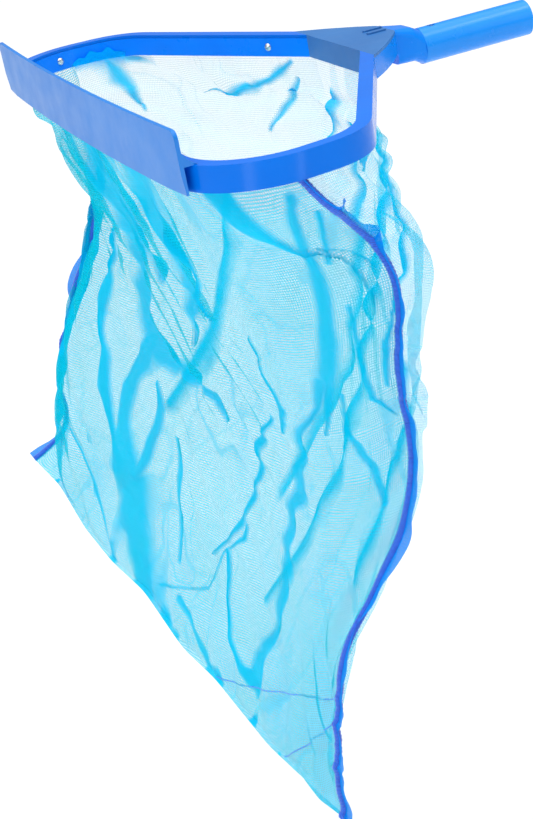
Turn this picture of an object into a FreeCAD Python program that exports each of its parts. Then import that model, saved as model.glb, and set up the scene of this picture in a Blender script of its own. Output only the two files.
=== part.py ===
"""Leaf skimmer net for a swimming pool: a hoop with a scoop blade, a yoke, a handle tube and a net bag.

Row frame, in millimetres: the origin is the centre of the handle tube's root, +X runs out along the handle
towards the pole, +Z is up and the hoop is symmetric about y = 0.
"""
import math
import os
import FreeCAD
import Part
from FreeCAD import Vector

SIZES = {
    # handle tube
    "tube_radius": 15.0, "tube_wall": 2.5, "tube_length": 102.0,
    "rivet_x": 13.0, "rivet_hole_radius": 3.6, "rivet_radius": 3.4, "rivet_sink": 1.2,
    # hoop, measured along the inner edge of its top flange
    "hoop_top": 22.0, "hoop_height": 19.0, "flange_width": 11.0, "hoop_wall": 2.5, "flange_thick": 2.5,
    "front_x": -283.5, "front_half": 272.0, "side_x": -180.0, "side_half": 260.0,
    "arm_x": -77.0, "arm_half": 53.0, "front_radius": 56.0, "side_radius": 46.0, "back_radius": 4.0,
    # scoop blade
    "blade_half": 238.0, "blade_rise": 25.0, "blade_thick": 3.0, "blade_bow": 6.0,
    "blade_facet_width": 34.0, "blade_facet_height": 16.0, "blade_facet_depth": 1.4, "blade_round": 6.0,
    "gusset_thick": 2.6, "gusset_foot": 10.0, "gusset_rise_share": 0.7,
    # strips that clamp the net's hem
    "strip_thick": 2.5, "strip_end": 205.0, "strip_gap": 1.0, "fit_gap": 0.3,
    "screw_shank_radius": 1.6, "screw_shank_length": 9.6, "screw_head_radius": 3.4, "screw_head_rise": 1.9,
    "screw_slot_length": 3.7, "screw_slot_depth": 0.85,
    "front_screw_pitch": 160.0, "side_screw_x": -236.0, "arm_screw_x": -118.0, "arm_screw_y": 84.0,
    # yoke
    "yoke_wall": 3.0, "yoke_floor": 2.5, "waist_x": -50.0, "waist_half": 48.0, "passage": 15.0,
    "slot_x": -68.0, "neck_x": -28.0, "neck_half": 17.0, "neck_bottom": -7.0, "neck_round": 4.0,
    "throat_x": -10.0, "throat_half": 16.0, "throat_top": 19.5, "throat_bottom": -9.0, "throat_round": 9.0,
    "neck_end_half": 14.2, "neck_end_round": 12.0, "spigot_length": 20.0, "spigot_radius": 12.45,
    "rib_length": 17.0, "rib_width": 4.5, "rib_rise": 1.4, "rib_half": 6.0, "rib_inset": 2.0,
    "rib_stagger": 1.0, "rib_round": 1.5, "boss_radius": 4.0,
    "cover_screw_x": -60.0, "cover_screw_half": 28.0, "cover_screw_length": 17.5,
    # spring clip in the tube
    "button_x": 36.0, "button_radius": 3.3, "button_hole_radius": 4.3, "button_rise": 4.0,
    "button_dome": 1.65, "button_tip_radius": 2.0, "leg_thick": 1.2, "leg_height": 7.0, "leg_offset": 11.0,
    "hinge_gap": 0.4, "clip_bend_x": 72.0, "clip_tail_x": 30.0, "press_angle": 8.0,
    # net bag
    "net_thick": 1.0, "net_offset": 3.0, "net_drop": 0.8, "seam_x": -228.0, "bag_sway": 62.0,
    "bottom_gap": 3.0, "near_tip_x": -278.0, "near_tip_y": -258.0, "near_tip_z": -503.0,
    "far_tip_x": -360.0, "far_tip_y": 246.0, "far_tip_z": -358.0,
    "rim_corner_step": 25.0, "rim_side_step": 12.0, "thread_width": 3.0, "allowance_width": 11.0,
    "stitch_width": 1.6, "stitch_inset": 2.0, "stitch_rise": 4.0,
    "hem_thick": 1.5, "hem_height": 14.0, "cord_radius": 1.2, "cord_offset": 6.0, "cord_height": 13.0,
}

# How far a cutting tool reaches past what it cuts.
CLEAR = 1.0
# Shares of the hoop's half width at which the net's rim is followed, beside its front and its side rails.
FRONT_SHARES = (0.6, 0.3)
SIDE_SHARES = (0.85, 0.6)
# Shares of the way down the bag at which its sheets are followed. The stitch lines start at the last but one.
FALLS = (0, 0.14, 0.3, 0.5, 0.7, 0.86, 1)
STITCH_FALL = FALLS[-2]

doc = FreeCAD.newDocument("leaf_skimmer_net")
sheet = doc.addObject("Spreadsheet::Sheet", "Sizes")
for row, (alias, value) in enumerate(SIZES.items(), start=1):
    sheet.set("A%d" % row, alias)
    sheet.set("B%d" % row, str(value))
    sheet.setAlias("B%d" % row, alias)
doc.recompute()


def size(alias):
    """A driving dimension, read from the spreadsheet."""
    return float(sheet.get(alias))


def cell(formula):
    """An expression in which each driving dimension is written as its sheet cell."""
    words = formula.replace("(", "( ").replace(")", " )").split(" ")
    return " ".join("Sizes." + word if word in SIZES else word for word in words)


hoop_bottom = size("hoop_top") - size("hoop_height")
flange_bottom = size("hoop_top") - size("flange_thick")


# ---- outlines in plan ----------------------------------------------------------------------------------
def left_normal(start, end):
    """Unit vector to the left of the way from start to end, in plan."""
    way = (end - start).normalize()
    return Vector(-way.y, way.x, 0)


def meet(point_a, way_a, point_b, way_b):
    """Where two lines in plan cross."""
    cross = way_a.x * way_b.y - way_a.y * way_b.x
    gap = point_b - point_a
    return point_a + way_a * ((gap.x * way_b.y - gap.y * way_b.x) / cross)


def offset_path(path, distance):
    """An open path moved to its left, its ends still on the same x or y as before."""
    sides = [(a + left_normal(a, b) * distance, b - a) for a, b in zip(path, path[1:])]
    moved = [meet(*end_line(path[0], path[1]), *sides[0])]
    for before, after in zip(sides, sides[1:]):
        moved.append(meet(*before, *after))
    moved.append(meet(*end_line(path[-1], path[-2]), *sides[-1]))
    return moved


def end_line(end, neighbour):
    """The line that cuts a path's end: across the hoop's front rail, and square to the handle elsewhere."""
    along_front = abs(end.x - neighbour.x) < abs(end.y - neighbour.y) * 0.1
    return (end, Vector(1, 0, 0)) if along_front else (end, Vector(0, 1, 0))


def rounded_edges(points, radii):
    """Lines and arcs of a closed outline whose corners have the given radii."""
    count = len(points)
    starts, ends, arcs = [], [], []
    for index, (corner, radius) in enumerate(zip(points, radii)):
        before = (points[index - 1] - corner).normalize()
        after = (points[(index + 1) % count] - corner).normalize()
        if radius <= 0:
            starts.append(corner)
            ends.append(corner)
            arcs.append(None)
            continue
        half = before.getAngle(after) / 2
        reach = radius / math.tan(half)
        start, end = corner + before * reach, corner + after * reach
        middle = corner + (before + after).normalize() * (radius / math.sin(half) - radius)
        starts.append(start)
        ends.append(end)
        arcs.append(Part.Arc(start, middle, end))
    edges = []
    for index in range(count):
        if arcs[index]:
            edges.append(arcs[index])
        following = starts[(index + 1) % count]
        if ends[index].distanceToPoint(following) > 1e-6:
            edges.append(Part.LineSegment(ends[index], following))
    return edges


def mirror(points):
    """The same points on the other side of the handle's line, in the opposite order."""
    return [Vector(p.x, -p.y, p.z) for p in reversed(points)]


def hoop_corners():
    """The inner edge of the far half of the hoop, from the yoke to the front."""
    return [Vector(size("arm_x"), size("arm_half"), 0), Vector(size("side_x"), size("side_half"), 0),
            Vector(size("front_x"), size("front_half"), 0)]


def band(path, radii, inner, outer):
    """The outline of a band along an open path, between two offsets to its left."""
    outside = offset_path(path, outer)
    inside = offset_path(path, inner)
    grown = [0] + [r + outer for r in radii] + [0]
    shrunk = [0] + [r + inner for r in radii] + [0]
    return rounded_edges(outside + inside[::-1], grown + shrunk[::-1])


def full_band(inner, outer):
    """The whole hoop's band, from the near arm round the front to the far one, clockwise from above."""
    far = hoop_corners()
    radii = [size("side_radius"), size("front_radius")]
    return band(mirror(far)[::-1] + far[::-1], radii + radii[::-1], inner, outer)


def ring(offset):
    """The closed inner edge of the mouth, with the back wall, moved outwards."""
    corners = hoop_corners()
    points = mirror(corners)[::-1] + corners[::-1]
    count = len(points)
    sides = []
    for index in range(count):
        a, b = points[index], points[(index + 1) % count]
        sides.append((a + left_normal(a, b) * offset, b - a))
    moved = [meet(*sides[index - 1], *sides[index]) for index in range(count)]
    radii = [size("back_radius"), size("side_radius"), size("front_radius")]
    radii = [r + offset for r in radii + radii[::-1]]
    return moved, radii


def ring_edges(offset):
    return rounded_edges(*ring(offset))


# ---- document helpers ----------------------------------------------------------------------------------
nodes = {}


def new_body(name):
    body = doc.addObject("PartDesign::Body", name)
    body.Label = name
    nodes[name] = body
    return body


def plan_sketch(body, name, edges, height):
    """A sketch of the outline, level with the hoop, at a height that is an expression."""
    sketch = body.newObject("Sketcher::SketchObject", name)
    plane = [f for f in body.Origin.OriginFeatures if f.Role == "XY_Plane"][0]
    sketch.AttachmentSupport = [(plane, "")]
    sketch.MapMode = "FlatFace"
    sketch.addGeometry(edges, False)
    sketch.setExpression("AttachmentOffset.Base.z", cell(height))
    return sketch


def pad(body, name, edges, height, length):
    """A prism of the outline, upwards from height."""
    feature = body.newObject("PartDesign::Pad", name)
    feature.Profile = plan_sketch(body, name + "Sketch", edges, height)
    feature.setExpression("Length", cell(length))
    doc.recompute()
    return feature


def pocket(body, name, edges, height, length):
    """Cuts a prism of the outline, upwards from height, and checks that it cut."""
    before = body.Shape.Volume
    feature = body.newObject("PartDesign::Pocket", name)
    feature.Profile = plan_sketch(body, name + "Sketch", edges, height)
    feature.Reversed = True
    feature.setExpression("Length", cell(length))
    doc.recompute()
    if body.Shape.Volume > before - 1:
        raise ValueError(name + " cuts nothing")
    return feature


def feature_of(name, shape):
    """A sub-part whose shape is made with Part's own functions."""
    part = doc.addObject("Part::Feature", name)
    part.Label = name
    part.Shape = shape
    part.Placement = FreeCAD.Placement()
    nodes[name] = part
    return part


def fused(name, shapes):
    shape = shapes[0].multiFuse(shapes[1:])
    return feature_of(name, shape.removeSplitter())


def polygon(points):
    return rounded_edges([Vector(x, y, 0) for x, y in points], [0] * len(points))


# ---- hoop and its strips -------------------------------------------------------------------------------
def build_hoop():
    """One moulding: a top flange and an outer wall, bent round the mouth and open towards the yoke."""
    body = new_body("hoop_frame")
    width, wall = size("flange_width"), size("hoop_wall")
    pad(body, "HoopWall", full_band(width - wall, width), "hoop_top - hoop_height", "hoop_height")
    pad(body, "HoopFlange", full_band(0, width), "hoop_top - flange_thick", "flange_thick")


def strip_path():
    """The far strip's line: from the front rail round both bends to the yoke."""
    corners = hoop_corners()
    front = Vector(size("front_x"), size("strip_end") + size("strip_gap"), 0)
    return [front, corners[2], corners[1], corners[0]]


def build_strips():
    """Three inner strips that clamp the hem against the hoop's flange and wall."""
    thick = size("strip_thick")
    height = "hoop_height - flange_thick - fit_gap"
    path = strip_path()
    radii = [size("front_radius"), size("side_radius")]
    left = new_body("left_strip")
    pad(left, "LeftStripPad", band(path, radii, 0, thick), "hoop_top - hoop_height", height)
    right = new_body("right_strip")
    pad(right, "RightStripPad", band(mirror(path), radii[::-1], 0, thick), "hoop_top - hoop_height", height)
    front = new_body("front_strip")
    x, end = size("front_x"), size("strip_end")
    outline = polygon([(x, -end), (x, end), (x - thick, end), (x - thick, -end)])
    pad(front, "FrontStripPad", outline, "hoop_top - hoop_height", height)


def screw(place, way, length):
    """A round-head screw whose head sits on place and whose shank runs along way."""
    radius, rise = size("screw_head_radius"), size("screw_head_rise")
    ball_radius = (radius ** 2 + rise ** 2) / (2 * rise)
    ball = Part.makeSphere(ball_radius, place + way * (ball_radius - rise))
    head = ball.common(Part.makeCylinder(radius + 1, rise, place, way * -1))
    shank = Part.makeCylinder(size("screw_shank_radius"), length, place, way)
    slot_wide, slot_deep = size("screw_slot_length"), size("screw_slot_depth")
    up = Vector(0, 1, 0) if abs(way.z) > 0.5 else Vector(0, 0, 1)
    across = way.cross(up).normalize()
    cross = []
    for along, side in ((across, up), (up, across)):
        corner = place - way * rise - along * (slot_wide / 2) - side * (slot_deep / 2)
        far_end = corner + along * slot_wide
        outline = [corner, far_end, far_end + side * slot_deep, corner + side * slot_deep, corner]
        cross.append(Part.Face(Part.makePolygon(outline)).extrude(way * slot_deep))
    return head.fuse(shank).cut(cross[0].fuse(cross[1])).removeSplitter()


def wall_place(x, y):
    """The spot on the mouth's inner wall nearest to a place inside it, and the way out through the wall."""
    wire = Part.Wire(Part.__sortEdges__([edge.toShape() for edge in ring_edges(0)]))
    inside = Vector(x, y, 0)
    nearest = wire.distToShape(Part.Vertex(inside))[1][0][0]
    return nearest, (nearest - inside).normalize()


def screw_places():
    """Where the strip screws sit on the strips' inner faces, and which way each one drives."""
    height = Vector(0, 0, hoop_bottom + (size("hoop_height") - size("flange_thick")) / 2)
    inward = size("flange_width")
    spots = [(size("side_screw_x"), size("side_half") - inward), (size("arm_screw_x"), size("arm_screw_y"))]
    spots += [(x, -y) for x, y in spots]
    spots += [(size("front_x") + inward, step * size("front_screw_pitch")) for step in (-1, 0, 1)]
    places = [wall_place(x, y) for x, y in spots]
    return [(place + height - way * size("fit_gap"), way) for place, way in places]


def build_strip_screws():
    solids = [screw(place, way, size("screw_shank_length")) for place, way in screw_places()]
    feature_of("strip_screws", Part.makeCompound(solids))


def drill_for_screws():
    """Screw holes through the strips and the hem, and blind ones in the hoop's wall."""
    length = size("screw_shank_length")
    radius = size("screw_shank_radius")
    drills = [Part.makeCylinder(radius, length, place, way) for place, way in screw_places()]
    tool = doc.addObject("Part::Feature", "ScrewDrills")
    tool.Shape = Part.makeCompound(drills)
    for name in ("left_strip", "right_strip", "front_strip", "rim_hem", "hoop_frame"):
        nodes[name] = cut(name + "_drilled", nodes[name], tool)


# ---- scoop blade ---------------------------------------------------------------------------------------
def blade_outline(inner_bow, thick):
    """Plan of the blade: a bowed outer face over the hoop's front, and an inner face with its own bow."""
    half, back = size("blade_half"), size("front_x") - size("flange_width")
    outer_end, outer_mid = back - thick, back - thick - size("blade_bow")
    near_out, far_out = Vector(outer_end, -half, 0), Vector(outer_end, half, 0)
    near_in, far_in = Vector(back, -half, 0), Vector(back, half, 0)
    edges = [Part.Arc(near_out, Vector(outer_mid, 0, 0), far_out), Part.LineSegment(far_out, far_in)]
    if inner_bow:
        edges.append(Part.Arc(far_in, Vector(back - inner_bow, 0, 0), near_in))
    else:
        edges.append(Part.LineSegment(far_in, near_in))
    edges.append(Part.LineSegment(near_in, near_out))
    return edges


def blade_gussets():
    """A thin web at each end of the blade, hollow in profile, from the hoop's top up the plate."""
    back = size("front_x") - size("flange_width")
    reach = size("gusset_foot") + size("blade_thick") / 2
    tall = size("blade_rise") * size("gusset_rise_share")
    sweep = (reach ** 2 + tall ** 2) / (2 * reach)
    half_turn = math.atan2(tall, sweep - reach) / 2
    gussets = []
    for y in (-size("blade_half"), size("blade_half") - size("gusset_thick")):
        corner = Vector(back - size("blade_thick") / 2, y, size("hoop_top"))
        toe, tip = corner + Vector(reach, 0, 0), corner + Vector(0, 0, tall)
        middle = tip + Vector(sweep * (1 - math.cos(half_turn)), 0, -sweep * math.sin(half_turn))
        edges = [Part.LineSegment(corner, toe), Part.Arc(toe, middle, tip), Part.LineSegment(tip, corner)]
        face = Part.Face(Part.Wire([edge.toShape() for edge in edges]))
        gussets.append(face.extrude(Vector(0, size("gusset_thick"), 0)))
    return gussets


def blade_end_tools():
    """What is cut off each end of the blade: a slanted facet below and a rounded corner above."""
    half, bow, radius = size("blade_half"), size("blade_bow"), size("blade_round")
    back = size("front_x") - size("flange_width")
    outer_end = back - size("blade_thick")
    deep = bow * 2 + size("blade_thick") * 2
    top, low = size("hoop_top") + size("blade_rise"), hoop_bottom - CLEAR
    inner = half - size("blade_facet_width")
    inner_x = outer_end - bow * (1 - (inner / half) ** 2)
    facet_x = outer_end + size("blade_facet_depth")
    tools = []
    for side in (-1, 1):
        end = side * (half + CLEAR)
        corners = [Vector(outer_end, end, hoop_bottom + size("blade_facet_height")),
                   Vector(inner_x, side * inner, low), Vector(facet_x, end, low)]
        face = Part.Face(Part.makePolygon(corners + corners[:1]))
        tools.append(face.extrude(Vector(-deep, 0, 0)))
        edge = half - radius if side > 0 else -half - CLEAR
        place = Vector(back - deep, edge, top - radius)
        block = Part.makeBox(deep, radius + CLEAR, radius + CLEAR, place)
        centre = Vector(back - deep, side * (half - radius), top - radius)
        tools.append(block.cut(Part.makeCylinder(radius, deep, centre, Vector(1, 0, 0))))
    return tools


def build_blade():
    """A foot that backs onto the hoop's front wall, and a thin bowed plate that stands above the hoop."""
    body = new_body("scoop_blade")
    thick = size("blade_thick")
    pad(body, "BladeFoot", blade_outline(0, thick), "hoop_top - hoop_height", "hoop_height")
    pad(body, "BladePlate", blade_outline(size("blade_bow"), thick), "hoop_top", "blade_rise")
    webs = doc.addObject("Part::Feature", "BladeGussets")
    webs.Shape = Part.makeCompound(blade_gussets())
    tool = doc.addObject("Part::Feature", "BladeCorners")
    tool.Shape = Part.makeCompound(blade_end_tools())
    joined = doc.addObject("Part::MultiFuse", "BladeJoined")
    joined.Shapes = [body, webs]
    nodes["scoop_blade"] = cut("BladeCut", joined, tool)


# ---- yoke ----------------------------------------------------------------------------------------------
def yoke_shoulder():
    """Half width of the yoke where it meets the hoop's arms."""
    return offset_path(hoop_corners()[::-1], size("flange_width"))[-1].y


def yoke_outline():
    """Plan of the yoke: straight across the hoop's arms, drawn in to the neck by an arc on each side."""
    shoulder = Vector(size("arm_x"), yoke_shoulder(), 0)
    waist = Vector(size("waist_x"), size("waist_half"), 0)
    neck = Vector(size("neck_x"), size("neck_half"), 0)
    far = Part.Arc(shoulder, waist, neck)
    near = Part.Arc(*mirror([shoulder, waist, neck]))
    return [far, Part.LineSegment(neck, mirror([neck])[0]), near,
            Part.LineSegment(mirror([shoulder])[0], shoulder)]


def mouth_edge():
    """The open side of the tray, wide enough for the hem and its cord to come in from the arms."""
    wide = size("arm_half") + size("strip_thick") + CLEAR + size("passage")
    return [(size("arm_x") - CLEAR, wide), (size("arm_x") - CLEAR, -wide)]


def cover_screw_circles(radius):
    """A circle at each of the two cover screws."""
    centres = [Vector(size("cover_screw_x"), side * size("cover_screw_half"), 0) for side in (-1, 1)]
    return [Part.Circle(centre, Vector(0, 0, 1), radius) for centre in centres]


def build_yoke():
    """One moulding: a tray between the arms, open in front, a neck that draws in to the tube, a spigot."""
    body = new_body("yoke_body")
    pad(body, "YokeTray", yoke_outline(), "hoop_top - hoop_height", "hoop_height - flange_thick")
    wall = size("yoke_wall")
    far_back = [(size("neck_x") - 2 * wall, size("neck_half") - wall),
                (size("waist_x") - wall, size("waist_half") - wall),
                (size("slot_x"), size("arm_half") + 2 * wall)]
    near_back = [(x, -y) for x, y in reversed(far_back)]
    hollow = polygon(mouth_edge() + near_back + far_back)
    pocket(body, "YokeHollow", hollow, "hoop_top - hoop_height + yoke_floor", "hoop_height")
    slot = polygon(mouth_edge() + [near_back[0], far_back[-1]])
    pocket(body, "HemSlot", slot, "hoop_top - hoop_height - yoke_floor", "yoke_floor * 3")
    bosses = cover_screw_circles(size("boss_radius"))
    pad(body, "CoverBosses", bosses, "hoop_top - hoop_height", "hoop_height - flange_thick")
    end = size("neck_end_half")
    neck = body.newObject("PartDesign::AdditiveLoft", "Neck")
    neck.Profile = neck_section(body, "NeckRoot", "neck_x", size("neck_half"), size("neck_bottom"),
                                size("hoop_top"), size("neck_round"))
    neck.Sections = [
        neck_section(body, "Throat", "throat_x", size("throat_half"), size("throat_bottom"),
                     size("throat_top"), size("throat_round")),
        neck_section(body, "NeckEnd", "0", end, -end, end, size("neck_end_round"))]
    neck.Ruled = True
    doc.recompute()
    spigot = body.newObject("PartDesign::Pad", "Spigot")
    spigot_circle = Part.Circle(Vector(), Vector(0, 0, 1), size("spigot_radius"))
    spigot.Profile = cross_sketch(body, "SpigotSketch", [spigot_circle], "0")
    spigot.setExpression("Length", cell("spigot_length"))
    doc.recompute()
    rivet_hole = Part.Circle(Vector(size("rivet_x"), 0, 0), Vector(0, 0, 1), size("screw_shank_radius"))
    pocket(body, "RivetHole", [rivet_hole], "0", "tube_radius")
    holes = cover_screw_circles(size("screw_shank_radius"))
    pocket(body, "CoverScrewHoles", holes, "hoop_top - hoop_height - 1", "hoop_height")


def cross_sketch(body, name, edges, along):
    """A sketch square to the handle, at a distance along it. Its x is the row's y, and its y the row's z."""
    sketch = body.newObject("Sketcher::SketchObject", name)
    plane = [f for f in body.Origin.OriginFeatures if f.Role == "YZ_Plane"][0]
    sketch.AttachmentSupport = [(plane, "")]
    sketch.MapMode = "FlatFace"
    sketch.addGeometry(edges, False)
    sketch.setExpression("AttachmentOffset.Base.z", cell(along))
    return sketch


def neck_section(body, name, along, half, low, high, radius):
    """A rounded rectangle square to the handle, for the neck's loft."""
    points = [Vector(-half, low, 0), Vector(half, low, 0), Vector(half, high, 0), Vector(-half, high, 0)]
    return cross_sketch(body, name, rounded_edges(points, [radius] * len(points)), along)


def build_cover():
    """The yoke's flat lid, flush with the hoop's flange, with the wall that closes the mouth and two ribs."""
    body = new_body("yoke_cover")
    pad(body, "CoverPlate", yoke_outline(), "hoop_top - flange_thick", "flange_thick")
    front, half = size("arm_x"), size("arm_half")
    back = front + size("yoke_wall") - size("fit_gap")
    lip = polygon([(front, -half), (back, -half), (back, half), (front, half)])
    pad(body, "CoverLip", lip, "hoop_top - hoop_height", "hoop_height - flange_thick")
    for name, side in (("NearRib", -1), ("FarRib", 1)):
        end = size("neck_x") - size("rib_inset") + side * size("rib_stagger")
        start = end - size("rib_length")
        low = side * size("rib_half") - size("rib_width") / 2
        high = low + size("rib_width")
        corners = [Vector(start, low, 0), Vector(end, low, 0), Vector(end, high, 0), Vector(start, high, 0)]
        pad(body, name, rounded_edges(corners, [size("rib_round")] * 4), "hoop_top", "rib_rise")
    holes = cover_screw_circles(size("screw_shank_radius"))
    pocket(body, "CoverPilots", holes, "hoop_top - flange_thick - 1", "flange_thick")


def build_cover_screws():
    x, half = size("cover_screw_x"), size("cover_screw_half")
    places = [Vector(x, side * half, hoop_bottom) for side in (-1, 1)]
    solids = [screw(place, Vector(0, 0, 1), size("cover_screw_length")) for place in places]
    feature_of("cover_screws", Part.makeCompound(solids))


# ---- handle tube, its rivet and its clip ---------------------------------------------------------------
def cylinder(name, radius, length, place, way):
    """A Part cylinder with its radius and length bound to the sheet, from place along way."""
    part = doc.addObject("Part::Cylinder", name)
    part.setExpression("Radius", cell(radius))
    part.setExpression("Height", cell(length))
    part.Placement = FreeCAD.Placement(place, FreeCAD.Rotation(Vector(0, 0, 1), way))
    return part


def cut(name, base, tool):
    part = doc.addObject("Part::Cut", name)
    part.Base = base
    part.Tool = tool
    return part


def build_tube():
    """A plain tube with a small hole on top for its rivet and one on the far side for the clip's button."""
    along = Vector(1, 0, 0)
    outer = cylinder("TubeOuter", "tube_radius", "tube_length", Vector(), along)
    bore = cylinder("TubeBore", "tube_radius - tube_wall", "tube_length", Vector(), along)
    rivet_place, button_place = Vector(size("rivet_x"), 0, 0), Vector(size("button_x"), 0, 0)
    rivet_hole = cylinder("TubeRivetHole", "rivet_hole_radius", "tube_radius * 2", rivet_place,
                          Vector(0, 0, 1))
    button_hole = cylinder("TubeButtonHole", "button_hole_radius", "tube_radius * 2", button_place,
                           Vector(0, 1, 0))
    tube = cut("TubeWall", outer, bore)
    tube = cut("TubeWithRivetHole", tube, rivet_hole)
    nodes["handle_tube"] = cut("TubeWithHoles", tube, button_hole)


def build_rivet():
    """A rivet that holds the tube on the spigot, its head sunk in the tube's hole."""
    foot = Vector(size("rivet_x"), 0, size("tube_radius") / 3)
    seat = Vector(size("rivet_x"), 0, size("spigot_radius"))
    shank = Part.makeCylinder(size("screw_shank_radius"), seat.z - foot.z, foot)
    head = Part.makeCylinder(size("rivet_radius"), size("tube_radius") - size("rivet_sink") - seat.z, seat)
    fused("tube_rivet", [shank, head])


def build_clip():
    """A hairpin of spring strip: the fixed leg and its bend, and the sprung leg and button, pressed flush."""
    reach, thick, tall = size("leg_offset"), size("leg_thick"), size("leg_height")
    bend, tail, low = size("clip_bend_x"), size("clip_tail_x"), -size("leg_height") / 2
    leg = Part.makeBox(bend - tail, thick, tall, Vector(tail, -reach - thick / 2, low))
    hairpin = Part.makeCylinder(reach + thick / 2, tall, Vector(bend, 0, low))
    hairpin = hairpin.cut(Part.makeCylinder(reach - thick / 2, tall, Vector(bend, 0, low)))
    keep = Part.makeBox(reach * 2, reach * 4, tall, Vector(bend, -reach * 2, low))
    fused("clip_fixed_leg", [leg, hairpin.common(keep)])
    free = Part.makeBox(bend - tail - size("hinge_gap"), thick, tall, Vector(tail, reach - thick / 2, low))
    feature_of("clip_spring_leg", free)
    foot = Vector(size("button_x"), reach + thick / 2, 0)
    tip = size("tube_radius") + size("button_rise") - foot.y
    dome, side_way = size("button_dome"), Vector(0, 1, 0)
    stem = Part.makeCylinder(size("button_radius"), tip - dome, foot, side_way)
    cap_foot = foot + side_way * (tip - dome)
    cap = Part.makeCone(size("button_radius"), size("button_tip_radius"), dome, cap_foot, side_way)
    fused("lock_button", [stem, cap])
    press = FreeCAD.Rotation(Vector(0, 0, 1), size("press_angle"))
    for name in ("clip_spring_leg", "lock_button"):
        nodes[name].Placement = FreeCAD.Placement(Vector(0, 0, 0), press, Vector(bend, reach, 0))


# ---- hem and rim cord ----------------------------------------------------------------------------------
def build_hem():
    """Hem tape and its cord, clamped between the strips and the hoop's wall all round the mouth."""
    body = new_body("rim_hem")
    offset = size("net_offset")
    outline = ring_edges(offset + size("hem_thick")) + ring_edges(offset)
    pad(body, "HemPad", outline, "hoop_top - hoop_height", "hem_height")
    body = new_body("rim_cord")
    middle, radius = size("cord_offset"), size("cord_radius")
    pad(body, "CordPad", ring_edges(middle + radius) + ring_edges(middle - radius),
        "hoop_top - hoop_height + cord_height - cord_radius", "cord_radius * 2")


# ---- net bag -------------------------------------------------------------------------------------------
def rim_point(x, y):
    """The point of the net's rim that is nearest to a place in plan."""
    wire = Part.Wire(Part.__sortEdges__([edge.toShape() for edge in ring_edges(size("net_offset"))]))
    nearest = wire.distToShape(Part.Vertex(Vector(x, y, 0)))[1][0][0]
    return Vector(nearest.x, nearest.y, hoop_bottom - size("net_drop"))


def front_rim():
    """Rim points of the front panel, from the far seam round the front to the near one."""
    corner, half, step = size("front_x"), size("front_half"), size("rim_corner_step")
    far = [rim_point(size("seam_x"), half), rim_point(corner + step, half), rim_point(corner, half - step)]
    far += [rim_point(corner, half * share) for share in FRONT_SHARES]
    return far + [rim_point(corner, 0)] + mirror(far)


def back_rim():
    """Rim points of the back panel, from the far seam round the yoke to the near one."""
    side, arm, half = size("side_x"), size("arm_x"), size("side_half")
    far = [rim_point(size("seam_x"), size("front_half")), rim_point(side, half),
           rim_point(side + size("rim_side_step"), half * SIDE_SHARES[0]),
           rim_point((side + arm) / 2, half * SIDE_SHARES[1]), rim_point(arm, size("arm_half"))]
    return far + [rim_point(arm + size("net_offset"), 0)] + mirror(far)


def net_point(top, share, fall, shift):
    """A point of the net. fall is 0 at the rim and 1 at the bottom edge, share is 0 at the far tip and 1 at
    the near one, and shift moves it along the handle."""
    far_tip = Vector(size("far_tip_x"), size("far_tip_y"), size("far_tip_z"))
    near_tip = Vector(size("near_tip_x"), size("near_tip_y"), size("near_tip_z"))
    bottom = far_tip + (near_tip - far_tip) * share
    sway = Vector(size("bag_sway") * math.sin(math.pi * fall) + shift, 0, 0)
    return top + (bottom - top) * fall + sway


def sheet_solid(rows, thick):
    """A closed sheet of the given thickness through a grid of points."""
    tall, wide = len(rows), len(rows[0])
    outer, inner = [], []
    for i in range(tall):
        outer.append([])
        inner.append([])
        for j in range(wide):
            down = rows[min(i + 1, tall - 1)][j] - rows[max(i - 1, 0)][j]
            across = rows[i][min(j + 1, wide - 1)] - rows[i][max(j - 1, 0)]
            normal = down.cross(across).normalize() * (thick / 2)
            outer[i].append(rows[i][j] + normal)
            inner[i].append(rows[i][j] - normal)
    quads = []
    for i in range(tall - 1):
        for j in range(wide - 1):
            quads.append((outer[i][j], outer[i + 1][j], outer[i + 1][j + 1], outer[i][j + 1]))
            quads.append((inner[i][j], inner[i][j + 1], inner[i + 1][j + 1], inner[i + 1][j]))
    for i in (0, tall - 1):
        for j in range(wide - 1):
            quads.append((outer[i][j], outer[i][j + 1], inner[i][j + 1], inner[i][j]))
    for j in (0, wide - 1):
        for i in range(tall - 1):
            quads.append((outer[i][j], inner[i][j], inner[i + 1][j], outer[i + 1][j]))
    faces = []
    for a, b, c, d in quads:
        faces.append(Part.Face(Part.makePolygon([a, b, c, a])))
        faces.append(Part.Face(Part.makePolygon([a, c, d, a])))
    shell = Part.makeShell(faces)
    shell.sewShape()
    shell.fix(1e-4, 1e-4, 1e-4)
    solid = Part.makeSolid(shell)
    if solid.Volume < 0:
        solid.reverse()
    return solid


def net_panel(rim, shift):
    """The rows of a panel. shift keeps the two panels apart below the rim."""
    last = len(rim) - 1
    return [[net_point(top, j / last, fall, shift) for j, top in enumerate(rim)] for fall in FALLS]


def build_net():
    gap = size("bottom_gap") / 2
    feature_of("net_front_panel", sheet_solid(net_panel(front_rim(), -gap), size("net_thick")))
    feature_of("net_back_panel", sheet_solid(net_panel(back_rim(), gap), size("net_thick")))


def edge_strip(share, start, end):
    """A strip beside a seam, between two distances out from it."""
    rim = front_rim()
    side = 1 if share == 0 else -1
    top = rim[0] if share == 0 else rim[-1]
    rows = []
    for fall in FALLS:
        point = net_point(top, share, fall, 0)
        rows.append([point + Vector(0, side * start, 0), point + Vector(0, side * end, 0)])
    return rows


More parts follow.
